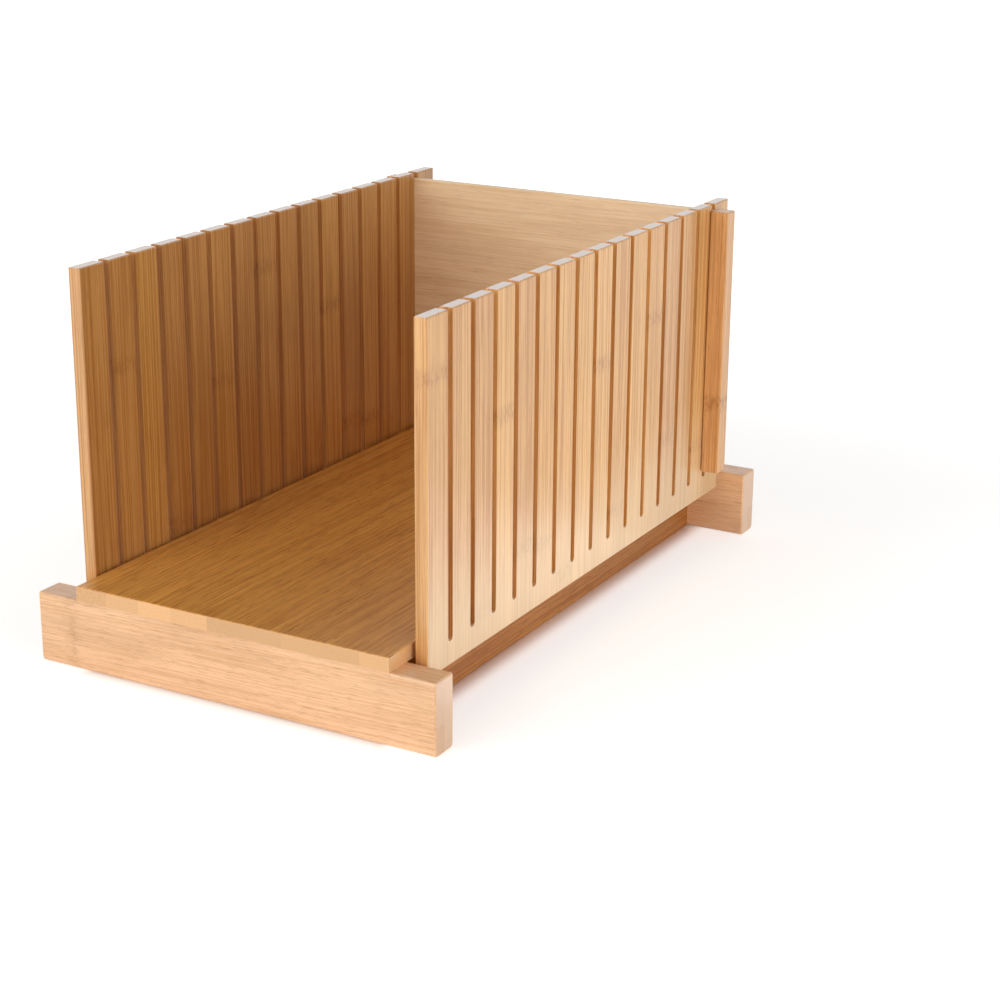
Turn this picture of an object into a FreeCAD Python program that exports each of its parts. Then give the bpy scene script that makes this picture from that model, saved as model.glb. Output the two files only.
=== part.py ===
"""Bread slicer guide: a bamboo base with two slotted swing-up guides and a lift-out back stop.

Millimetres, Z up, front at -Y. The origin is on the table under the middle of the footprint.
The base is a board of edge-glued staves on two laminated cross rails, with two low stretchers
between the rails. The guides stand beside the board on pivot pins in the rails. The back stop
drops into the last slot of both guides, and its cleats hold the guides upright.
"""
import FreeCAD, Part
import os

V = FreeCAD.Vector

# Base board: edge-glued staves, left to right
stave_widths = (15.2, 16.4, 15.9, 17.9, 17.8, 17.4, 18.8, 17.0, 13.2)
board_thickness = 6.2
board_edge_round = 0.6

# Cross rails: two plies each
rail_length = 190.0
rail_height = 30.8
ply_thickness = 6.6
rail_foot_round = 2.4        # long lower edges
rail_edge_round = 1.0        # long upper edges
rail_end_chamfer = 0.6

# Stretchers between the rails, on the table under the board
stretcher_inset = 8.8        # outer face inside the edge of the board
stretcher_thickness = 10.0
stretcher_height = 18.0
stretcher_edge_round = 0.8

# Slotted guides
guide_thickness = 5.8
guide_rise = 128.0           # finger tips above the top of the board
guide_drop = 6.3             # lower edge below the top of the rails
guide_board_gap = 2.0        # inner face to the edge of the board
guide_front_gap = 2.2        # front end to the front rail
guide_rear_gap = 3.8         # rear end to the rear rail
guide_corner_round = 0.6
tip_chamfer = 0.5
slot_count = 15
slot_pitch = 17.0
slot_width = 3.4
slot_depth_below_board = 3.0  # the blade can pass the board's top before it meets the slot end
end_finger_width = 15.1

# Back stop
stop_slot_clearance = 0.2    # plate to slot wall, each side
stop_setback = 2.5           # plate top below the finger tips
stop_edge_round = 0.5
cleat_width = 8.8
cleat_depth = 8.4
cleat_guide_gap = 0.3
cleat_foot_gap = 0.9         # cleat foot above the foot of the plate
cleat_groove_depth = 4.0
cleat_edge_round = 0.8
cleat_end_chamfer = 0.5

# Pivot pins
pin_radius = 1.5
pin_running_clearance = 0.05
pin_height_in_guide = 3.2
pin_depth_in_rail = 10.0
pin_depth_in_guide = 12.0
pin_end_clearance = 1.0

# Dowels from the rails up into the board, and from the rails into the stretchers
dowel_radius = 2.5
dowel_depth_in_board = 4.0
dowel_depth_in_rail = 16.0
dowel_staves = (1, 7)        # staves that carry a dowel, counted from 0 at the left
stretcher_dowel_in_rail = 9.0
stretcher_dowel_in_stretcher = 14.0

# Derived sizes
board_width = sum(stave_widths)
rail_depth = 2 * ply_thickness
board_top = rail_height + board_thickness
guide_length = 2 * end_finger_width + slot_width + (slot_count - 1) * slot_pitch
base_depth = 2 * rail_depth + guide_front_gap + guide_length + guide_rear_gap
front_y = -base_depth / 2
stretcher_outer_x = board_width / 2 - stretcher_inset
stretcher_inner_x = stretcher_outer_x - stretcher_thickness
guide_y = front_y + rail_depth + guide_front_gap
guide_inner_x = board_width / 2 + guide_board_gap
guide_outer_x = guide_inner_x + guide_thickness
guide_bottom = rail_height - guide_drop
guide_top = board_top + guide_rise
slot_end_z = board_top - slot_depth_below_board
first_slot_y = guide_y + end_finger_width + slot_width / 2
last_slot_y = first_slot_y + (slot_count - 1) * slot_pitch
plate_thickness = slot_width - 2 * stop_slot_clearance
plate_top = guide_top - stop_setback
cleat_inner_x = guide_outer_x + cleat_guide_gap
plate_half_width = cleat_inner_x + cleat_groove_depth
pin_x = guide_inner_x + guide_thickness / 2
pin_z = guide_bottom + pin_height_in_guide


def box(x0, x1, y0, y1, z0, z1):
    """Box between two corners."""
    return Part.makeBox(x1 - x0, y1 - y0, z1 - z0, V(x0, y0, z0))


def edges_along(shape, direction):
    """Straight edges of a shape that run along a direction."""
    found = []
    for edge in shape.Edges:
        run = edge.Vertexes[-1].Point - edge.Vertexes[0].Point
        if run.Length > 0 and abs(run.normalize().dot(direction)) > 0.999:
            found.append(edge)
    return found


def mirrored(shape, normal):
    """Mirror image through the origin plane with this normal."""
    return shape.mirror(V(0, 0, 0), normal)


def stave_edges():
    """X of the joints between staves, with the two edges of the board."""
    xs = [-board_width / 2]
    for width in stave_widths:
        xs.append(xs[-1] + width)
    return xs


def dowel_points():
    """X of the dowels, on the centre lines of the staves that carry one."""
    xs = stave_edges()
    return [(xs[i] + xs[i + 1]) / 2 for i in dowel_staves]


def dowels(sign):
    """Dowels of the front rail (sign -1) or the rear rail (sign +1)."""
    y = sign * (base_depth / 2 - rail_depth / 2)
    z = rail_height - dowel_depth_in_rail
    length = dowel_depth_in_rail + dowel_depth_in_board
    return [Part.makeCylinder(dowel_radius, length, V(x, y, z)) for x in dowel_points()]


def stretcher_dowels(sign):
    """Dowels of both stretchers in the front rail (sign -1) or the rear rail (sign +1)."""
    x = (stretcher_inner_x + stretcher_outer_x) / 2
    y = sign * (base_depth / 2 - rail_depth + stretcher_dowel_in_rail)
    length = stretcher_dowel_in_rail + stretcher_dowel_in_stretcher
    return [Part.makeCylinder(dowel_radius, length, V(side * x, y, stretcher_height / 2),
                              V(0, -sign, 0)) for side in (-1, 1)]


def pin_core(sign, radius, guide_extra=0.0):
    """Cylinder on the right pivot axis: from inside a rail to inside the guide's end."""
    rail_face = sign * (base_depth / 2 - rail_depth)
    gap = guide_front_gap if sign < 0 else guide_rear_gap
    length = pin_depth_in_rail + gap + pin_depth_in_guide + guide_extra
    start = V(pin_x, rail_face + sign * pin_depth_in_rail, pin_z)
    return Part.makeCylinder(radius, length, start, V(0, -sign, 0))


def pivot_pin(side, sign):
    """Steel pin of one guide: side -1 left, +1 right; sign -1 front, +1 rear."""
    pin = pin_core(sign, pin_radius)
    return pin if side > 0 else mirrored(pin, V(1, 0, 0))


def rail(sign):
    """Front rail (sign -1) or rear rail (sign +1) as one sanded bar, drilled."""
    half = rail_length / 2
    outer = base_depth / 2
    bar = box(-half, half, outer - rail_depth, outer, 0, rail_height)
    for z, radius in ((0, rail_foot_round), (rail_height, rail_edge_round)):
        level = [e for e in edges_along(bar, V(1, 0, 0)) if abs(e.BoundBox.Center.z - z) < 1e-3]
        bar = bar.makeFillet(radius, level)
    ends = [e for e in bar.Edges if abs(e.BoundBox.Center.x) > half - 1e-3]
    bar = bar.makeChamfer(rail_end_chamfer, ends)
    seat = box(-board_width / 2, board_width / 2, outer - rail_depth, outer,
               rail_height - rail_edge_round, rail_height)
    bar = bar.fuse(seat).removeSplitter()
    if sign < 0:
        bar = mirrored(bar, V(0, 1, 0))
    drill = pin_core(sign, pin_radius)
    return bar.cut([drill, mirrored(drill, V(1, 0, 0))] + dowels(sign) + stretcher_dowels(sign))


def rail_plies(sign):
    """Outer and inner ply of a rail, parted at the glue line."""
    bar = rail(sign)
    glue_line = sign * (base_depth / 2 - ply_thickness)
    face = sign * base_depth / 2
    inner_face = sign * (base_depth / 2 - rail_depth)
    half = rail_length / 2
    plies = []
    for y0, y1 in ((face, glue_line), (glue_line, inner_face)):
        plies.append(bar.common(box(-half, half, min(y0, y1), max(y0, y1), 0, rail_height)))
    return plies


def right_stretcher():
    """Stretcher under the right side of the board, from rail to rail."""
    end = base_depth / 2 - rail_depth
    bar = box(stretcher_inner_x, stretcher_outer_x, -end, end, 0, stretcher_height)
    bar = bar.makeFillet(stretcher_edge_round, edges_along(bar, V(0, 1, 0)))
    return bar.cut(stretcher_dowels(-1) + stretcher_dowels(1))


def board_staves():
    """Staves of the base board, cut from one sanded panel."""
    half = board_width / 2
    panel = box(-half, half, front_y, -front_y, rail_height, board_top)
    rounded = [e for e in panel.Edges if e.BoundBox.ZMin > board_top - board_edge_round]
    panel = panel.makeFillet(board_edge_round, rounded)
    panel = panel.cut(dowels(-1) + dowels(1))
    xs = stave_edges()
    return [panel.common(box(xs[i], xs[i + 1], front_y, -front_y, rail_height, board_top))
            for i in range(len(stave_widths))]


def slot_cutter(y):
    """One blade slot: parallel walls with a round end, open through the finger tips."""
    radius = slot_width / 2
    centre_z = slot_end_z + radius
    end = Part.makeCylinder(radius, guide_thickness, V(guide_inner_x, y, centre_z), V(1, 0, 0))
    walls = box(guide_inner_x, guide_outer_x, y - radius, y + radius, centre_z, guide_top)
    return end.fuse(walls).removeSplitter()


def tip_section():
    """Cross-section of a guide with its finger tips chamfered, swept along the guide."""
    shoulder = guide_top - tip_chamfer
    points = [V(guide_inner_x, guide_y, guide_bottom),
              V(guide_outer_x, guide_y, guide_bottom),
              V(guide_outer_x, guide_y, shoulder),
              V(guide_outer_x - tip_chamfer, guide_y, guide_top),
              V(guide_inner_x + tip_chamfer, guide_y, guide_top),
              V(guide_inner_x, guide_y, shoulder)]
    face = Part.Face(Part.makePolygon(points + points[:1]))
    return face.extrude(V(0, guide_length, 0))


def right_guide():
    """Slotted guide to the right of the board, bored for its two pivot pins."""
    panel = tip_section()
    ends = [e for e in edges_along(panel, V(0, 0, 1)) if e.Length > guide_rise]
    panel = panel.makeFillet(guide_corner_round, ends)
    slots = [slot_cutter(first_slot_y + i * slot_pitch) for i in range(slot_count)]
    bore = pin_radius + pin_running_clearance
    bores = [pin_core(sign, bore, pin_end_clearance) for sign in (-1, 1)]
    return panel.cut(slots + bores)


def stop_plate():
    """Back plate in the last slot of both guides, standing on the board."""
    y0 = last_slot_y - plate_thickness / 2
    plate = box(-plate_half_width, plate_half_width, y0, y0 + plate_thickness,
                board_top, plate_top)
    top_edges = [e for e in edges_along(plate, V(1, 0, 0)) if e.BoundBox.ZMin > board_top]
    return plate.makeFillet(stop_edge_round, top_edges)


def right_cleat(plate):
    """Cleat outside the right guide, grooved for the end of the plate."""
    y0 = last_slot_y - cleat_depth / 2
    cleat = box(cleat_inner_x, cleat_inner_x + cleat_width, y0, y0 + cleat_depth,
                board_top + cleat_foot_gap, plate_top)
    cleat = cleat.makeFillet(cleat_edge_round, edges_along(cleat, V(0, 0, 1)))
    ends = [e for e in cleat.Edges if e.BoundBox.ZLength < 1e-3]
    return cleat.makeChamfer(cleat_end_chamfer, ends).cut(plate)


def build():
    """All pieces by name."""
    pieces = {}
    for sign, name in ((-1, "front_rail"), (1, "rear_rail")):
        outer, inner = rail_plies(sign)
        pieces[name + "_outer_ply"] = outer
        pieces[name + "_inner_ply"] = inner
        pieces[name + "_dowels"] = Part.makeCompound(dowels(sign))
    stretcher = right_stretcher()
    pieces["right_stretcher"] = stretcher
    pieces["left_stretcher"] = mirrored(stretcher, V(1, 0, 0))
    pieces["stretcher_dowels"] = Part.makeCompound(stretcher_dowels(-1) + stretcher_dowels(1))
    for i, stave in enumerate(board_staves()):
        pieces["board_stave_%d" % (i + 1)] = stave
    guide = right_guide()
    pieces["right_guide"] = guide
    pieces["left_guide"] = mirrored(guide, V(1, 0, 0))
    for side, side_name in ((-1, "left"), (1, "right")):
        for sign, end_name in ((-1, "front"), (1, "rear")):
            pieces["%s_%s_pivot_pin" % (side_name, end_name)] = pivot_pin(side, sign)
    plate = stop_plate()
    cleat = right_cleat(plate)
    pieces["back_stop_plate"] = plate
    pieces["back_stop_right_cleat"] = cleat
    pieces["back_stop_left_cleat"] = mirrored(cleat, V(1, 0, 0))
    return pieces


os.makedirs("parts", exist_ok=True)
for piece_name, piece in build().items():
    piece.exportStep("parts/%s.step" % piece_name)
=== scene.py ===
"""Looks of a bamboo bread slicer guide: varnished bamboo, edge easing, steel pins and the stage."""

import math

import bpy
from bpy.props import FloatProperty, FloatVectorProperty, PointerProperty
from mathutils import Matrix, Vector

bl_info = {
    "name": "Bread Slicer Guide",
    "version": (1, 0, 0),
    "blender": (4, 5, 0),
    "location": "View3D > Sidebar > Bread Slicer",
    "description": "Dresses the bread slicer guide in varnished bamboo and sets its stage",
    "category": "Object",
}

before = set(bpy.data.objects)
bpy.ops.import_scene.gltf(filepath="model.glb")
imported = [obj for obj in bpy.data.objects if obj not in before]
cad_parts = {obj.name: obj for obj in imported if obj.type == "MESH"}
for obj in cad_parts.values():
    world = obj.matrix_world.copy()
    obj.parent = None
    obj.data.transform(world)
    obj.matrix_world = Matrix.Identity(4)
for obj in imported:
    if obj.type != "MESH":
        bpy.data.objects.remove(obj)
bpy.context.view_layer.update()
AXES = "XYZ"
WHITE = (1.0, 1.0, 1.0, 1.0)

# Node sheets: nodes in a row and the steps between them, the colour sockets and the number
# sockets of a mix node, and the hue value that leaves a colour's hue as it is.
ROW_LENGTH, COLUMN_STEP, ROW_STEP = 12, 180, -220
MIX_FIRST, MIX_SECOND, MIX_RESULT = 6, 7, 2
NUMBER_FIRST, NUMBER_SECOND, NUMBER_RESULT = 2, 3, 0
SAME_HUE = 0.5

# A piece's seed moves its textures this way. The shifts added to it keep them apart.
SEED_WAY = (1.0, 0.7, 1.3)
CLOUD_SHIFT, SPOT_SHIFT, DASH_SHIFT, CURL_SHIFT = 3.0, 5.0, 7.0, 9.0

# Shares of red, green and blue that the marks take of the bamboo's own colour. The shares for a
# guide's pale foot are painted light from the floor.
LINE_SHADE = (0.82, 0.69, 0.54)
PALE_LINE_SHADE = (1.12, 1.18, 1.28)
FOOT_PAINTED_LIGHT_SHADE = (1.12, 1.52, 2.50)
END_SPOT_SHADE = (0.80, 0.70, 0.58)
LOW_STRIP_SHADE = (0.97, 0.91, 0.85)
CLOUD_DEPTHS = (0.8, 1.3, 1.8)
PALE_LINE_SHARE = 0.7

# Noise scales per metre, how many times each noise is drawn out along the grain, and the noise
# values between which its mark fades in.
WANDER_SCALE, WANDER_REACH, WANDER_SIZE = 30.0, 5.0, 0.003
CLOUD_SCALE, CLOUD_REACH, CLOUD_FADE = 110.0, 7.0, (0.32, 0.68)
LINE_REACH, LINE_FADE, PALE_LINE_FADE = 6.0, (0.50, 0.60), (0.46, 0.34)
DASH_DENSITY, DASH_FADE = 1.9, (0.56, 0.66)
SPOT_REACH, SPOT_FADE = 60.0, (0.45, 0.12)
CURL_SCALE, CURL_REACH, CURL_FADE = 620.0, 1.8, (0.44, 0.60, 0.25, 1.0)

# Rings of the cane: spacings to the middle of a ring, its edges in spacings from there, and how
# far the rings move from seed to seed and at most from strip to strip, in metres.
RING_MIDDLE, RING_FADE = 1.5, (0.026, 0.004)
SEED_RING_STEP, STRIP_RING_STEP = 0.067, 0.41

# Strips of a guide: limits of their hue, spread of their brightness, depth of the line between
# two of them, and the share of that line's width which is fully dark.
STRIP_HUES, STRIP_SPREAD = (0.4972, 0.5028), 0.07
GLUE_DEPTH, GLUE_CORE = 0.18, 0.3

# Parts of a face's normal between which the face starts to count as looking along an axis.
FACES_OUT = (0.4, 0.9)
FACES_ALONG_X = (0.7, 0.9)
FACES_ALONG_Y = (0.5, 0.8)
FACES_ALONG_GRAIN = (0.80, 0.98)
FACES_OFF_X = (0.6, 0.2)

# Heights in metres between which a guide gets paler by painted light from the floor, and half the
# blur of a strip's top edge.
FOOT_PAINTED_LIGHT_FADE = (0.085, 0.035)
LOW_STRIP_BLUR = 0.0002

# Sawn slots of a guide, in metres: lowest and highest Y, the foot of the slots and the height
# up to which their round ends reach.
SLOT_BOX = (-0.130, 0.128, 0.030, 0.040)

# Varnish: strength and depth of the felt fibres, roughness added in the dashes, and the coat's.
BUMP_STRENGTH, BUMP_DEPTH = 0.25, 0.00010
DASH_ROUGHNESS, COAT_ROUGHNESS = 0.12, 0.22

# Dowel wood: grain scale and reach, share of the colour that the grain takes, and its fades.
WOOD_SCALE, WOOD_REACH, WOOD_SHADE = 900.0, 12.0, (0.72, 0.72, 0.72)
WOOD_FADE, WOOD_ROUGHNESS = (0.35, 0.7), (0.3, 0.7, 0.6, 0.75)

# Steel: scale and reach of the die's rings, its two tones, and the fade of its roughness.
STEEL_SCALE, STEEL_REACH = 1800.0, 0.2
STEEL_DARK, STEEL_BRIGHT = (0.50, 0.50, 0.52, 1.0), (0.72, 0.72, 0.74, 1.0)
STEEL_ROUGHNESS = (0.3, 0.7, 0.22, 0.36)

# Edge easing: distance in metres at which corners join, the angles in degrees of a flat face
# and of an edge, steps across an edge, and how much large faces lead the shading.
JOIN_DISTANCE, FLAT_ANGLE, EDGE_ANGLE, EDGE_STEPS, FACE_WEIGHT = 1e-6, 0.5, 35, 3, 80

# Floor: its colour, half the width and depth that the object covers, and the distances from there,
# in metres, between which the white is added and the gloss beside the stretchers fades. The added
# white is a painted glow, held back under the object so its shade shows, and the warm tint of the
# gloss is a painted warmth in the reflection beside the stretchers.
FLOOR_GREY = (0.93, 0.93, 0.93, 1.0)
COVERED_X, COVERED_Y = 0.066, 0.148
NEAR_FADE, FAR_FADE = (0.0, 0.010), (0.04, 0.60)
GLOSS_FADE_X, GLOSS_FADE_Y = (0.014, 0.0), (-0.008, -0.014)
GLOSS_TINT, GLOSS_ROUGHNESS, GLOSS_SHARE = (1.0, 0.89, 0.77, 1.0), 0.32, 0.6

# Place and aim of each soft light, in metres.
FRONT_LIGHT = ((-0.45, -1.58, 0.50), (0.0, 0.0, 0.06))
RIGHT_LIGHT = ((0.98, -0.46, 0.26), (0.0, 0.0, 0.10))
BOUNCE_LIGHT = ((0.22, 0.0, 0.002), (0.22, 0.0, 1.0))

# Camera: its place in metres, the directions to its right, down and ahead, its sensor in
# millimetres, and the distances in metres between which it sees.
CAMERA_PLACE = (0.47022, -0.78027, 0.34840)
CAMERA_RIGHT = Vector((0.87331548, 0.48710241, 0.0071641))
CAMERA_DOWN = Vector((0.16095602, -0.27463208, -0.94798227))
CAMERA_AHEAD = Vector((-0.45979695, 0.82904069, -0.31824251))
SENSOR_WIDTH, CLIP_START, CLIP_END = 36.0, 0.01, 50.0


def linear(rgb):
    """Linear colour from display values 0 to 255."""
    out = []
    for value in rgb:
        c = value / 255.0
        out.append(c / 12.92 if c <= 0.04045 else ((c + 0.055) / 1.055) ** 2.4)
    return tuple(out)


def colour(name, description, rgb):
    """Colour property with a default given in display values."""
    return FloatVectorProperty(name=name, description=description, subtype="COLOR", size=3,
                               min=0.0, max=1.0, default=linear(rgb))


def length(name, description, metres):
    """Length property in metres."""
    return FloatProperty(name=name, description=description, default=metres, min=0.0,
                         subtype="DISTANCE", unit="LENGTH", precision=5)


def strength(name, description, default):
    """Strength property of a soft light from all around."""
    return FloatProperty(name=name, description=description, default=default, min=0.0)


def power(name, description, watts):
    """Power property of a light, in watts."""
    return FloatProperty(name=name, description=description, default=watts, min=0.0,
                         unit="POWER")


def lift(name, description, default):
    """Property for a share of white, from 0 to 1."""
    return FloatProperty(name=name, description=description, default=default, min=0.0,
                         max=1.0)


class BambooColours(bpy.types.PropertyGroup):
    """Colours of the varnished bamboo."""
    rail: colour("Rails", "Bamboo of the cross rails", (240, 192, 146))
    rail_end: colour("Rail ends", "Cut ends of the cross rails", (227, 187, 152))
    board: colour("Board", "Bamboo of the base board", (228, 163, 76))
    board_end: colour("Board ends", "Cut ends of the staves", (229, 179, 125))
    guide: colour("Guides", "Bamboo of the slotted guides", (226, 173, 109))
    # Painted shade: the inner faces of the guides are darkened to stand for the shade they lie in.
    guide_inner_painted_shade: colour("Guides, inner faces", "Bamboo with painted shade where a guide faces the loaf",
                        (199, 145, 78))
    # The tips are paler partly as end grain, partly as a painted highlight of light from above.
    guide_end_and_highlight: colour("Guide ends", "Cut tips of the fingers, with a painted highlight", (255, 235, 224))
    stop: colour("Back stop", "Bamboo of the back plate", (248, 218, 175))
    cleat: colour("Cleats", "Bamboo of the back stop's cleats", (220, 164, 102))
    # The stretchers' deep brown is partly the bamboo and partly painted shade from the guides above
    # them.
    stretcher: colour("Stretchers", "Bamboo of the stretchers, deepened by painted shade", (182, 118, 50))
    fibre: colour("Fibre", "Dark fibre bundles in all the bamboo", (150, 88, 38))
    dowel: colour("Dowel", "Raw wood of the hidden dowels", (222, 190, 148))


class GrainSizes(bpy.types.PropertyGroup):
    """Sizes of the sanded edges, the strips and the fibres."""
    guide_edge: length("Guide edge", "Rounding sanded on the edges of the fingers", 0.00035)
    guide_strip: length("Guide strip", "Width of the strips of one tone in a guide, one per slot",
                        0.0170)
    strip_start: FloatProperty(name="Strip start", default=-0.1198, subtype="DISTANCE",
                               unit="LENGTH", precision=5,
                               description="Place along the guide of one line between strips")
    rail_strip: length("Rail strip", "Height of the lower strip in a rail's ply", 0.0125)
    glue_line: length("Glue line", "Width of the line between two strips", 0.00025)
    fibre_width: length("Fibre width", "Spacing of the fibre bundles", 0.00095)
    ring_spacing: length("Ring spacing", "Distance between the rings of a cane", 0.2120)


class StageSizes(bpy.types.PropertyGroup):
    """Floor, lights and camera."""
    floor_size: length("Floor size", "Side of the square floor", 12.0)
    side_fill: strength("Side fill", "Strength of the soft light from the sides", 0.85)
    top_fill: strength("Top fill", "Strength of the soft light from above", 0.26)
    front_size: length("Front size", "Side of the soft light at the front left", 0.9)
    front_power: power("Front power", "Power of the soft light at the front left", 10.2)
    right_size: length("Right size", "Side of the soft light at the right", 0.45)
    right_power: power("Right power", "Power of the soft light at the right", 2.6)
    bounce_size: length("Bounce size", "Side of the light low beside the right guide", 0.22)
    bounce_power: power("Bounce power", "Power of the light low beside the right guide", 0.13)
    # The white added to the floor is a painted glow, least under the object so its shade shows.
    under_lift: lift("Under lift", "White added to the floor under the object", 0.05)
    near_lift: lift("Near lift", "White added to the floor beside the object", 0.52)
    far_lift: lift("Far lift", "White added to the floor far from the object", 0.86)
    lens: FloatProperty(name="Lens", description="Focal length of the camera", default=77.23,
                        min=1.0, unit="CAMERA")


class SlicerSettings(bpy.types.PropertyGroup):
    """All settings of the bread slicer guide."""
    colours: PointerProperty(type=BambooColours)
    grain: PointerProperty(type=GrainSizes)
    stage: PointerProperty(type=StageSizes)


def settings():
    """The settings kept on the scene."""
    return bpy.context.scene.bread_slicer


class NodeSheet:
    """Short names for making and joining the shader nodes of one material or world."""

    def __init__(self, owner):
        self.owner = bpy.data.materials.new(owner) if isinstance(owner, str) else owner
        self.owner.use_nodes = True
        self.tree = self.owner.node_tree
        self.tree.nodes.clear()
        self.place = 0

    def add(self, kind, **options):
        """New node with its options set, laid out in rows."""
        node = self.tree.nodes.new(kind)
        self.place += 1
        node.location = (COLUMN_STEP * (self.place % ROW_LENGTH),
                         ROW_STEP * (self.place // ROW_LENGTH))
        for key, value in options.items():
            setattr(node, key, value)
        return node

    def feed(self, socket, value):
        """Joins a socket, or sets the input's own value."""
        if isinstance(value, bpy.types.NodeSocket):
            self.tree.links.new(value, socket)
        else:
            socket.default_value = value

    def maths(self, operation, a, b=0.0):
        """Maths node of one or two values."""
        node = self.add("ShaderNodeMath", operation=operation)
        self.feed(node.inputs[0], a)
        self.feed(node.inputs[1], b)
        return node.outputs[0]

    def times(self, a, b):
        """Product of two values."""
        return self.maths("MULTIPLY", a, b)

    def size_of(self, value):
        """Value without its sign."""
        return self.maths("ABSOLUTE", value)

    def ranged(self, value, low, high, to_low=0.0, to_high=1.0):
        """Smooth map of a value from one range to another."""
        node = self.add("ShaderNodeMapRange", interpolation_type="SMOOTHSTEP")
        for socket, number in zip(node.inputs, (value, low, high, to_low, to_high)):
            self.feed(socket, number)
        return node.outputs[0]

    def mix(self, factor, a, b, blend="MIX"):
        """Mix of two colours."""
        node = self.add("ShaderNodeMix", data_type="RGBA", blend_type=blend)
        self.feed(node.inputs[0], factor)
        self.feed(node.inputs[MIX_FIRST], a)
        self.feed(node.inputs[MIX_SECOND], b)
        return node.outputs[MIX_RESULT]

    def shade(self, factor, body, shares):
        """Body where the factor is 0, and its shares of red, green and blue where it is 1."""
        return self.mix(factor, body, self.mix(1.0, body, rgba(shares), "MULTIPLY"))

    def toned(self, body, hue, value):
        """Body with its hue turned and its brightness multiplied."""
        node = self.add("ShaderNodeHueSaturation")
        self.feed(node.inputs["Hue"], hue)
        self.feed(node.inputs["Value"], value)
        self.feed(node.inputs["Color"], body)
        return node.outputs[0]

    def split(self, vector):
        """X, Y and Z of a vector."""
        node = self.add("ShaderNodeSeparateXYZ")
        self.feed(node.inputs[0], vector)
        return node.outputs

    def noise(self, vector, scale, detail, roughness, output="Fac"):
        """Noise texture."""
        node = self.add("ShaderNodeTexNoise")
        self.feed(node.inputs["Vector"], vector)
        node.inputs["Scale"].default_value = scale
        node.inputs["Detail"].default_value = detail
        node.inputs["Roughness"].default_value = roughness
        return node.outputs[output]

    def stretched(self, vector, grain, times, seed=0.0):
        """Coordinates drawn out along the grain and moved by a seed."""
        node = self.add("ShaderNodeMapping")
        self.feed(node.inputs["Vector"], vector)
        scale = [1.0, 1.0, 1.0]
        scale[AXES.index(grain)] = 1.0 / times
        node.inputs["Scale"].default_value = scale
        node.inputs["Location"].default_value = [seed * way for way in SEED_WAY]
        return node.outputs["Vector"]

    def surface(self, shader):
        """Joins a shader to the output and returns the finished material."""
        out = self.add("ShaderNodeOutputMaterial")
        self.feed(out.inputs["Surface"], shader.outputs[0])
        return self.owner


def rgba(rgb):
    """Colour with full alpha."""
    return tuple(rgb) + (1.0,)


def shares_of(rgb, shares):
    """Shares of a colour's red, green and blue, each at most 1."""
    return tuple(min(1.0, value * share) for value, share in zip(rgb, shares))


def bent_grain(s, place, grain, seed, slant):
    """Coordinates in which the grain is tipped by some degrees and wanders a little."""
    tipped = s.add("ShaderNodeMapping")
    s.feed(tipped.inputs["Vector"], place)
    turn = [0.0, 0.0, 0.0]
    turn[{"X": 1, "Y": 2, "Z": 0}[grain]] = math.radians(slant)
    tipped.inputs["Rotation"].default_value = turn
    wander = s.noise(s.stretched(place, grain, WANDER_REACH, seed), WANDER_SCALE, detail=2.0,
                     roughness=0.5, output="Color")
    bent = s.add("ShaderNodeVectorMath", operation="MULTIPLY_ADD")
    s.feed(bent.inputs[0], wander)
    bent.inputs[1].default_value = (WANDER_SIZE, WANDER_SIZE, WANDER_SIZE)
    s.feed(bent.inputs[2], tipped.outputs["Vector"])
    return bent.outputs[0]


def fibre_marks(s, bent, grain, seed, reach, fine):
    """Masks of long fine lines, pale lines and short dashes along the grain, and end spots."""
    size = settings().grain.fibre_width / fine
    ripple = s.noise(s.stretched(bent, grain, reach * LINE_REACH, seed), 1.0 / size,
                     detail=1.0, roughness=0.4)
    dashes = s.noise(s.stretched(bent, grain, reach, seed + DASH_SHIFT), DASH_DENSITY / size,
                     detail=2.0, roughness=0.6)
    spots = s.add("ShaderNodeTexVoronoi")
    s.feed(spots.inputs["Vector"], s.stretched(bent, grain, SPOT_REACH, seed + SPOT_SHIFT))
    spots.inputs["Scale"].default_value = 1.0 / size
    return (s.ranged(ripple, *LINE_FADE), s.ranged(ripple, *PALE_LINE_FADE),
            s.ranged(dashes, *DASH_FADE), s.ranged(spots.outputs["Distance"], *SPOT_FADE))


def clouded(s, bent, grain, seed, rgb, blotch):
    """The bamboo's colour with soft clouds, paler and deeper."""
    pale = tuple(min(1.0, value * (1.0 + blotch)) for value in rgb)
    deep = tuple(value * (1.0 - blotch * depth) for value, depth in zip(rgb, CLOUD_DEPTHS))
    clouds = s.noise(s.stretched(bent, grain, CLOUD_REACH, seed + CLOUD_SHIFT), CLOUD_SCALE,
                     detail=3.0, roughness=0.55)
    return s.mix(s.ranged(clouds, *CLOUD_FADE), rgba(pale), rgba(deep))


def strip_tones(s, body, side, width, seed):
    """Body with a tone for each strip and a line between strips, and the strips' lots."""
    line_width = settings().grain.glue_line
    count = s.maths("DIVIDE", s.maths("SUBTRACT", side, settings().grain.strip_start), width)
    lots = s.add("ShaderNodeTexWhiteNoise", noise_dimensions="1D")
    s.feed(lots.inputs["W"], s.maths("ADD", s.maths("FLOOR", count), seed))
    lot = lots.outputs["Value"]
    body = s.toned(body, s.ranged(lot, 0.0, 1.0, *STRIP_HUES),
                   s.ranged(lot, 0.0, 1.0, 1.0 - STRIP_SPREAD, 1.0 + STRIP_SPREAD))
    from_middle = s.size_of(s.maths("SUBTRACT", s.maths("FRACT", count), 0.5))
    near = s.times(s.maths("SUBTRACT", 0.5, from_middle), width)
    glue = s.times(s.ranged(near, line_width, line_width * GLUE_CORE), GLUE_DEPTH)
    return s.mix(glue, body, rgba(settings().colours.fibre)), lot


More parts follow.
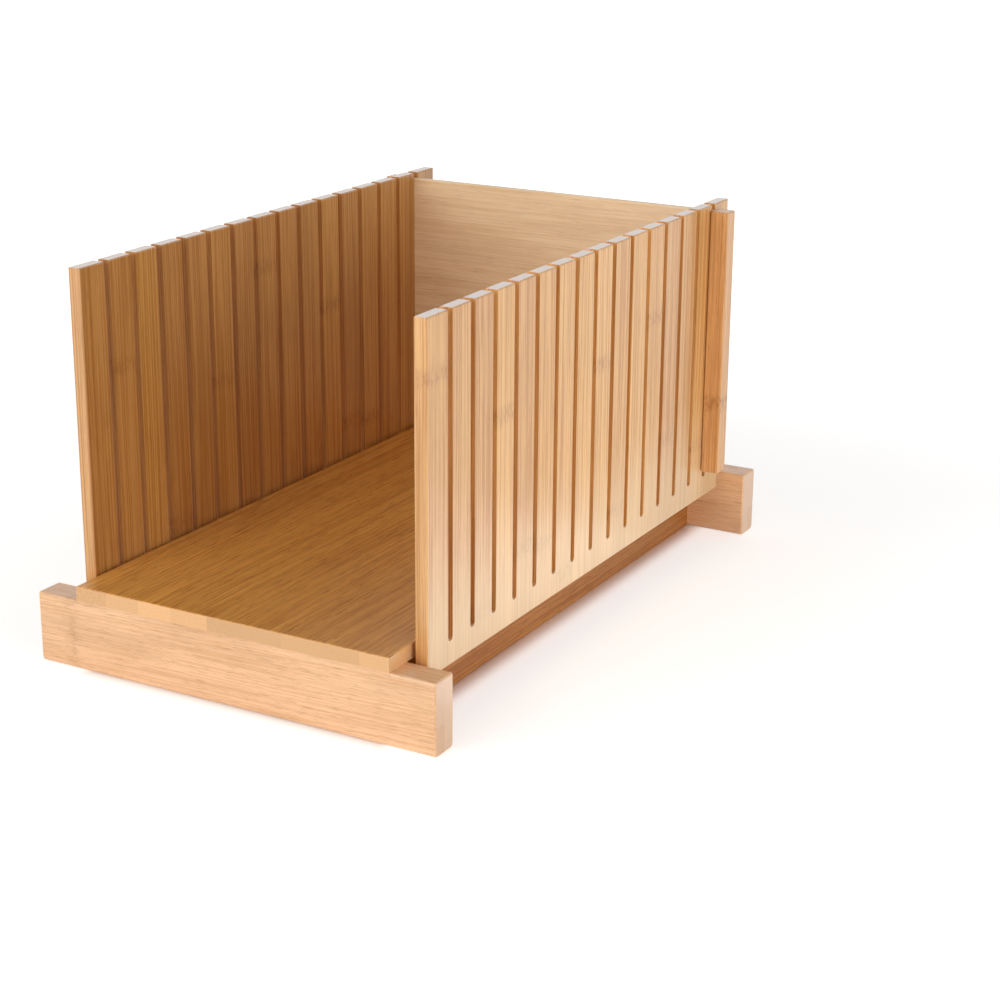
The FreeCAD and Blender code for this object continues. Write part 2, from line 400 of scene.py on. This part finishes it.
def cane_rings(s, body, run, place, offset, grain, seed, depth):
    """Darker bands of curled marks where the rings of the cane were."""
    spacing = settings().grain.ring_spacing
    turns = s.maths("DIVIDE", s.maths("SUBTRACT", s.maths("ADD", run, RING_MIDDLE * spacing),
                                      offset), spacing)
    near = s.size_of(s.maths("SUBTRACT", s.maths("FRACT", turns), 0.5))
    curls = s.noise(s.stretched(place, grain, CURL_REACH, seed + CURL_SHIFT), CURL_SCALE,
                    detail=3.0, roughness=0.6)
    band = s.times(s.ranged(near, *RING_FADE), s.ranged(curls, *CURL_FADE))
    return s.mix(s.times(band, depth), body, rgba(settings().colours.fibre))


def scorched_and_shaded(s, body, place, normal, burn_and_shade):
    """Darkens the sawn walls and round ends of the slots: partly the scorch of the saw, partly
    painted shade in the slots.
    """
    y_low, y_high, foot, round_top = SLOT_BOX
    wall = s.ranged(s.size_of(normal[1]), *FACES_ALONG_Y)
    low = s.times(s.maths("GREATER_THAN", place[2], foot),
                  s.maths("LESS_THAN", place[2], round_top))
    wall = s.times(s.maths("MAXIMUM", wall, low), s.ranged(s.size_of(normal[0]), *FACES_OFF_X))
    inside = s.times(s.maths("GREATER_THAN", place[1], y_low),
                     s.maths("LESS_THAN", place[1], y_high))
    return s.shade(s.times(wall, inside), body, burn_and_shade)


def varnished(s, body, fibres, dashes, gloss, coat):
    """Clear varnish over the bamboo, with the fibres felt through it."""
    bump = s.add("ShaderNodeBump")
    bump.inputs["Strength"].default_value = BUMP_STRENGTH
    bump.inputs["Distance"].default_value = BUMP_DEPTH
    s.feed(bump.inputs["Height"], fibres)
    shader = s.add("ShaderNodeBsdfPrincipled")
    s.feed(shader.inputs["Base Color"], body)
    s.feed(shader.inputs["Roughness"], s.ranged(dashes, 0.0, 1.0, gloss, gloss + DASH_ROUGHNESS))
    s.feed(shader.inputs["Normal"], bump.outputs[0])
    shader.inputs["Coat Weight"].default_value = coat
    shader.inputs["Coat Roughness"].default_value = COAT_ROUGHNESS
    return s.surface(shader)


def bamboo(name, body_colour, end_colour, grain, across, seed, *, reach, fine, line_strength,
           dash_strength, tone=1.0, end_tone=1.0, spot_strength=0.45, blotch=0.10, slant=0.0,
           ring_strength=0.16, ring_place=None, strip=0.0, foot_strip=0.0, flank=0.0,
           outward=1.0, inner_shade=None, painted_foot_light=0.0, burn_and_shade=None, gloss=0.34, coat=0.45):
    """Varnished bamboo with its fibres along the grain axis.

    Reach is how many times longer than wide the dashes are, and fine makes all marks smaller.
    Ring_place is the place along the grain of one ring of the cane. Strip is the width of the
    strips of one tone, counted along the axis across. Foot_strip is the height of a darker
    strip low in the cut end. Flank is how much of the ends' colour the faces along X take.
    Inner_shade is painted shade that darkens the face that looks inward along X. How much paler the
    face that looks outward gets towards its foot is painted light from the floor. How dark the
    slots of a guide get is partly the scorch of the saw and partly painted shade in the slots.
    """
    fibre = rgba(settings().colours.fibre)
    s = NodeSheet(name)
    coords = s.add("ShaderNodeTexCoord")
    place, normal = s.split(coords.outputs["Object"]), s.split(coords.outputs["Normal"])
    run, side = place[AXES.index(grain)], place[AXES.index(across)]
    bent = bent_grain(s, coords.outputs["Object"], grain, seed, slant)
    lines, pale_lines, dashes, spots = fibre_marks(s, bent, grain, seed, reach, fine)

    body = clouded(s, bent, grain, seed, body_colour, blotch)
    body = s.mix(s.times(lines, line_strength), body, rgba(shares_of(body_colour, LINE_SHADE)))
    body = s.mix(s.times(pale_lines, line_strength * PALE_LINE_SHARE), body,
                 rgba(shares_of(body_colour, PALE_LINE_SHADE)))
    body = s.mix(s.times(dashes, dash_strength), body, fibre)
    offset = seed * SEED_RING_STEP if ring_place is None else ring_place
    if strip:
        body, lot = strip_tones(s, body, side, strip, seed)
        offset = s.times(lot, STRIP_RING_STEP)
    body = cane_rings(s, body, run, coords.outputs["Object"], offset, grain, seed, ring_strength)
    if tone != 1.0:
        body = s.toned(body, SAME_HUE, tone)
    # Painted shade on the face that looks inward.
    if inner_shade:
        inner = s.ranged(s.times(normal[0], -outward), *FACES_OUT)
        body = s.shade(inner, body, inner_shade)
    # Painted light from the floor: the face that looks outward gets paler towards its foot.
    if painted_foot_light:
        outer = s.ranged(s.times(normal[0], outward), *FACES_OUT)
        foot = s.times(s.times(s.ranged(place[2], *FOOT_PAINTED_LIGHT_FADE), outer), painted_foot_light)
        body = s.mix(foot, body, rgba(shares_of(body_colour, FOOT_PAINTED_LIGHT_SHADE)))

    end_pale = tuple(min(1.0, value * end_tone) for value in end_colour)
    end = s.mix(s.times(spots, spot_strength), rgba(end_pale),
                rgba(shares_of(end_pale, END_SPOT_SHADE)))
    if foot_strip:
        low = s.ranged(place[2], foot_strip + LOW_STRIP_BLUR, foot_strip - LOW_STRIP_BLUR)
        end = s.shade(low, end, LOW_STRIP_SHADE)
    if flank:
        sides = s.ranged(s.size_of(normal[0]), *FACES_ALONG_X)
        body = s.mix(s.times(sides, flank), body, rgba(end_pale))
    cut = s.ranged(s.size_of(normal[AXES.index(grain)]), *FACES_ALONG_GRAIN)
    body = s.mix(cut, body, end)
    # Slots darkened partly by the saw's scorch, partly by painted shade.
    if burn_and_shade:
        body = scorched_and_shaded(s, body, place, normal, burn_and_shade)
    return varnished(s, body, s.mix(cut, lines, spots), dashes, gloss, coat)


def raw_wood(name, rgb):
    """Plain pale dowel wood with a fine grain."""
    s = NodeSheet(name)
    coords = s.add("ShaderNodeTexCoord")
    grain = s.noise(s.stretched(coords.outputs["Object"], "Z", WOOD_REACH), WOOD_SCALE,
                    detail=3.0, roughness=0.6)
    shader = s.add("ShaderNodeBsdfPrincipled")
    s.feed(shader.inputs["Base Color"], s.mix(s.ranged(grain, *WOOD_FADE), rgba(rgb),
                                              rgba(shares_of(rgb, WOOD_SHADE))))
    s.feed(shader.inputs["Roughness"], s.ranged(grain, *WOOD_ROUGHNESS))
    return s.surface(shader)


def bright_steel(name):
    """Drawn steel rod with fine rings from the die."""
    s = NodeSheet(name)
    coords = s.add("ShaderNodeTexCoord")
    rings = s.noise(s.stretched(coords.outputs["Object"], "Y", STEEL_REACH), STEEL_SCALE,
                    detail=2.0, roughness=0.5)
    shader = s.add("ShaderNodeBsdfPrincipled")
    s.feed(shader.inputs["Base Color"], s.mix(rings, STEEL_DARK, STEEL_BRIGHT))
    shader.inputs["Metallic"].default_value = 1.0
    s.feed(shader.inputs["Roughness"], s.ranged(rings, *STEEL_ROUGHNESS))
    return s.surface(shader)


def finish_node(name, material):
    """Gives every slot of a CAD node this material."""
    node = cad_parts[name]
    if not node.data.materials:
        node.data.materials.append(material)
    for slot in node.material_slots:
        slot.material = material
    return node


def ease_edges(node, radius):
    """Sands the sharp edges of a flat-sided piece to a small radius."""
    weld = node.modifiers.new("join faces", "WELD")
    weld.merge_threshold = JOIN_DISTANCE
    flat = node.modifiers.new("flat faces", "DECIMATE")
    flat.decimate_type = "DISSOLVE"
    flat.angle_limit = math.radians(FLAT_ANGLE)
    ease = node.modifiers.new("eased edges", "BEVEL")
    ease.width = radius
    ease.segments = EDGE_STEPS
    ease.limit_method = "ANGLE"
    ease.angle_limit = math.radians(EDGE_ANGLE)
    ease.miter_outer = "MITER_ARC"
    even = node.modifiers.new("even shading", "WEIGHTED_NORMAL")
    even.keep_sharp = False
    even.weight = FACE_WEIGHT


class RailsOperator(bpy.types.Operator):
    """Finish the two laminated cross rails"""
    bl_idname = "bread_slicer.rails"
    bl_label = "Cross Rails"

    def execute(self, context):
        c, strip = settings().colours, settings().grain.rail_strip
        # The rear plies' higher tones and end tones are painted light on the rear rail, which the
        # guides shade.
        plies = (("front_rail_outer_ply", 1.0, 1.00, 1.02, -0.078, strip),
                 ("front_rail_inner_ply", 4.0, 1.03, 1.06, 0.020, 0.0),
                 ("rear_rail_inner_ply", 9.0, 1.12, 1.16, 0.050, 0.0),
                 ("rear_rail_outer_ply", 14.0, 1.06, 1.16, -0.030, strip))
        for node, seed, tone, end_tone, ring, foot in plies:
            finish_node(node, bamboo("bamboo_" + node, c.rail, c.rail_end, "X", "Z", seed,
                                     reach=24.0, fine=1.7, line_strength=0.42,
                                     dash_strength=0.34, tone=tone, end_tone=end_tone,
                                     slant=1.2, ring_strength=0.22, ring_place=ring,
                                     foot_strip=foot))
        return {"FINISHED"}


class StretchersOperator(bpy.types.Operator):
    """Finish the two low stretchers between the rails"""
    bl_idname = "bread_slicer.stretchers"
    bl_label = "Stretchers"

    def execute(self, context):
        c = settings().colours
        for node, seed in (("left_stretcher", 21.0), ("right_stretcher", 26.0)):
            finish_node(node, bamboo("bamboo_" + node, c.stretcher, c.rail_end, "Y", "Z", seed,
                                     reach=30.0, fine=1.3, line_strength=1.0,
                                     dash_strength=0.85, gloss=0.55, coat=0.05))
        return {"FINISHED"}


class BoardOperator(bpy.types.Operator):
    """Finish the nine staves of the base board, each in its own tone"""
    bl_idname = "bread_slicer.board"
    bl_label = "Base Board"

    def execute(self, context):
        c = settings().colours
        first_seed, seed_step = 31.0, 3.7
        tones = (1.02, 1.02, 1.04, 1.00, 0.97, 0.98, 0.94, 0.96, 0.94)
        end_tones = (0.97, 1.05, 1.15, 1.09, 0.91, 0.92, 0.96, 0.95, 1.05)
        end_spots = (0.9,) + 8 * (0.35,)
        for i, (tone, end_tone, spots) in enumerate(zip(tones, end_tones, end_spots)):
            node = "board_stave_%d" % (i + 1)
            finish_node(node, bamboo("bamboo_" + node, c.board, c.board_end, "Y", "X",
                                     first_seed + seed_step * i, reach=36.0, fine=1.3,
                                     line_strength=0.95, dash_strength=0.70, tone=tone,
                                     end_tone=end_tone, spot_strength=spots, flank=1.00,
                                     coat=0.25))
        return {"FINISHED"}


class GuidesOperator(bpy.types.Operator):
    """Finish the two slotted guides and ease the edges of their fingers"""
    bl_idname = "bread_slicer.guides"
    bl_label = "Slotted Guides"

    def execute(self, context):
        c, g = settings().colours, settings().grain
        # Both guides get painted shade on their inner faces. The left guide's darker slot colour
        # carries that painted shade into its slots as well.
        inner = [dark / pale for dark, pale in zip(c.guide_inner_painted_shade, c.guide)]
        for node, seed, outward, burn_and_shade in (("left_guide", 61.0, -1.0, (0.74, 0.61, 0.41)),
                                          ("right_guide", 68.0, 1.0, (0.97, 0.90, 0.80))):
            guide = finish_node(node, bamboo("bamboo_" + node, c.guide, c.guide_end_and_highlight, "Z", "Y",
                                             seed, reach=34.0, fine=1.25, line_strength=1.0,
                                             dash_strength=0.28, tone=0.98,
                                             ring_strength=0.35, strip=g.guide_strip,
                                             outward=outward, inner_shade=inner,
                                             painted_foot_light=0.52, burn_and_shade=burn_and_shade))
            ease_edges(guide, g.guide_edge)
        return {"FINISHED"}


class BackStopOperator(bpy.types.Operator):
    """Finish the back plate and its two cleats"""
    bl_idname = "bread_slicer.back_stop"
    bl_label = "Back Stop"

    def execute(self, context):
        c = settings().colours
        finish_node("back_stop_plate", bamboo("bamboo_back_stop_plate", c.stop, c.rail_end,
                                              "X", "Z", 81.0, reach=30.0, fine=1.6,
                                              line_strength=0.32, dash_strength=0.18,
                                              blotch=0.07))
        for node, seed in (("back_stop_left_cleat", 85.0), ("back_stop_right_cleat", 88.0)):
            finish_node(node, bamboo("bamboo_" + node, c.cleat, c.rail_end, "Z", "Y", seed,
                                     reach=26.0, fine=1.5, line_strength=0.80,
                                     dash_strength=0.30, end_tone=1.08, blotch=0.14,
                                     ring_strength=0.60, ring_place=0.072))
        return {"FINISHED"}


class PinsOperator(bpy.types.Operator):
    """Finish the pivot pins and the hidden dowels"""
    bl_idname = "bread_slicer.pins"
    bl_label = "Pins and Dowels"

    def execute(self, context):
        steel = bright_steel("bright_steel")
        for side in ("left", "right"):
            for end in ("front", "rear"):
                finish_node("%s_%s_pivot_pin" % (side, end), steel)
        wood = raw_wood("dowel_wood", settings().colours.dowel)
        for node in ("front_rail_dowels", "rear_rail_dowels", "stretcher_dowels"):
            finish_node(node, wood)
        return {"FINISHED"}


def white_floor(under, near, far):
    """Matt white floor, lifted by a painted glow towards plain white where it is seen away from the
    object, with a warm-tinted gloss beside the stretchers.
    """
    s = NodeSheet("white_floor")
    matt = s.add("ShaderNodeBsdfDiffuse")
    matt.inputs["Color"].default_value = FLOOR_GREY
    path = s.add("ShaderNodeLightPath")
    seen = s.maths("MAXIMUM", path.outputs["Is Camera Ray"], path.outputs["Is Glossy Ray"])
    place = s.split(s.add("ShaderNodeTexCoord").outputs["Object"])
    beside = s.maths("SUBTRACT", s.size_of(place[0]), COVERED_X)
    ahead = s.maths("SUBTRACT", s.size_of(place[1]), COVERED_Y)
    away = s.maths("MAXIMUM", beside, ahead)
    white = s.maths("ADD", s.ranged(away, *NEAR_FADE, under, near),
                    s.ranged(away, *FAR_FADE, 0.0, far - near))
    gloss = s.add("ShaderNodeBsdfGlossy")
    gloss.inputs["Color"].default_value = GLOSS_TINT
    gloss.inputs["Roughness"].default_value = GLOSS_ROUGHNESS
    beside_wood = s.times(s.ranged(beside, *GLOSS_FADE_X), s.ranged(ahead, *GLOSS_FADE_Y))
    floor = s.add("ShaderNodeMixShader")
    s.feed(floor.inputs[0], s.times(beside_wood, GLOSS_SHARE))
    s.feed(floor.inputs[1], matt.outputs[0])
    s.feed(floor.inputs[2], gloss.outputs[0])
    plain = s.add("ShaderNodeEmission")
    plain.inputs["Color"].default_value = WHITE
    s.feed(plain.inputs["Strength"], s.times(seen, white))
    both = s.add("ShaderNodeAddShader")
    s.feed(both.inputs[0], floor.outputs[0])
    s.feed(both.inputs[1], plain.outputs[0])
    return s.surface(both)


def white_room(side, top):
    """World of soft light, stronger at the sides than above, and plain white where seen."""
    world = bpy.data.worlds.new("white_room")
    s = NodeSheet(world)
    path = s.add("ShaderNodeLightPath")
    seen = s.maths("MAXIMUM", path.outputs["Is Camera Ray"], s.maths(
        "MAXIMUM", path.outputs["Is Glossy Ray"], path.outputs["Is Transmission Ray"]))
    way = s.split(s.add("ShaderNodeTexCoord").outputs["Generated"])
    level = s.add("ShaderNodeMix")
    s.feed(level.inputs[0], seen)
    s.feed(level.inputs[NUMBER_FIRST], s.ranged(way[2], 0.0, 1.0, side, top))
    level.inputs[NUMBER_SECOND].default_value = 1.0
    background = s.add("ShaderNodeBackground")
    background.inputs["Color"].default_value = WHITE
    s.feed(background.inputs["Strength"], level.outputs[NUMBER_RESULT])
    s.feed(s.add("ShaderNodeOutputWorld").inputs["Surface"], background.outputs[0])
    bpy.context.scene.world = world


def soft_light(name, place, aim, size, watts):
    """Square soft light at a place, aimed at a point."""
    data = bpy.data.lights.new(name, "AREA")
    data.shape = "SQUARE"
    data.size = size
    data.energy = watts
    lamp = bpy.data.objects.new(name, data)
    lamp.location = place
    lamp.visible_camera = False
    lamp.rotation_euler = (Vector(aim) - Vector(place)).to_track_quat("-Z", "Y").to_euler()
    bpy.context.scene.collection.objects.link(lamp)


def set_camera(lens):
    """Camera at its place, looking ahead through this lens."""
    data = bpy.data.cameras.new("camera")
    data.sensor_width = SENSOR_WIDTH
    data.lens = lens
    data.clip_start = CLIP_START
    data.clip_end = CLIP_END
    camera = bpy.data.objects.new("camera", data)
    turn = Matrix((CAMERA_RIGHT, -CAMERA_DOWN, -CAMERA_AHEAD)).transposed()
    camera.matrix_world = Matrix.Translation(CAMERA_PLACE) @ turn.to_4x4()
    bpy.context.scene.collection.objects.link(camera)
    bpy.context.scene.camera = camera


class StageOperator(bpy.types.Operator):
    """Lay the floor, hang the lights and set the camera"""
    bl_idname = "bread_slicer.stage"
    bl_label = "Stage"

    def execute(self, context):
        scene, stage = bpy.context.scene, settings().stage
        scene.view_settings.view_transform = "Standard"
        half = stage.floor_size / 2
        mesh = bpy.data.meshes.new("floor")
        mesh.from_pydata([(-half, -half, 0), (half, -half, 0), (half, half, 0), (-half, half, 0)],
                         [], [(0, 1, 2, 3)])
        floor = bpy.data.objects.new("floor", mesh)
        mesh.materials.append(white_floor(stage.under_lift, stage.near_lift, stage.far_lift))
        scene.collection.objects.link(floor)
        white_room(stage.side_fill, stage.top_fill)
        soft_light("front_light", *FRONT_LIGHT, stage.front_size, stage.front_power)
        soft_light("right_light", *RIGHT_LIGHT, stage.right_size, stage.right_power)
        soft_light("bounce_light", *BOUNCE_LIGHT, stage.bounce_size, stage.bounce_power)
        set_camera(stage.lens)
        return {"FINISHED"}


STEPS = (RailsOperator, StretchersOperator, BoardOperator, GuidesOperator, BackStopOperator,
         PinsOperator, StageOperator)


class SlicerPanel(bpy.types.Panel):
    """Sidebar panel of the bread slicer guide"""
    bl_idname = "VIEW3D_PT_bread_slicer"
    bl_label = "Bread Slicer Guide"
    bl_space_type = "VIEW_3D"
    bl_region_type = "UI"
    bl_category = "Bread Slicer"

    def draw(self, context):
        for step in STEPS:
            self.layout.operator(step.bl_idname)
        for group in (settings().colours, settings().grain, settings().stage):
            for name in group.bl_rna.properties.keys():
                if name not in ("name", "rna_type"):
                    self.layout.prop(group, name)


CLASSES = (BambooColours, GrainSizes, StageSizes, SlicerSettings) + STEPS + (SlicerPanel,)


def register():
    """Registers the classes and the settings."""
    for cls in CLASSES:
        bpy.utils.register_class(cls)
    bpy.types.Scene.bread_slicer = PointerProperty(type=SlicerSettings)


def unregister():
    """Removes the settings and the classes."""
    del bpy.types.Scene.bread_slicer
    for cls in reversed(CLASSES):
        bpy.utils.unregister_class(cls)


def main():
    """Runs every step in order."""
    register()
    for step in STEPS:
        group, name = step.bl_idname.split(".")
        getattr(getattr(bpy.ops, group), name)()


if __name__ == "__main__":
    main()
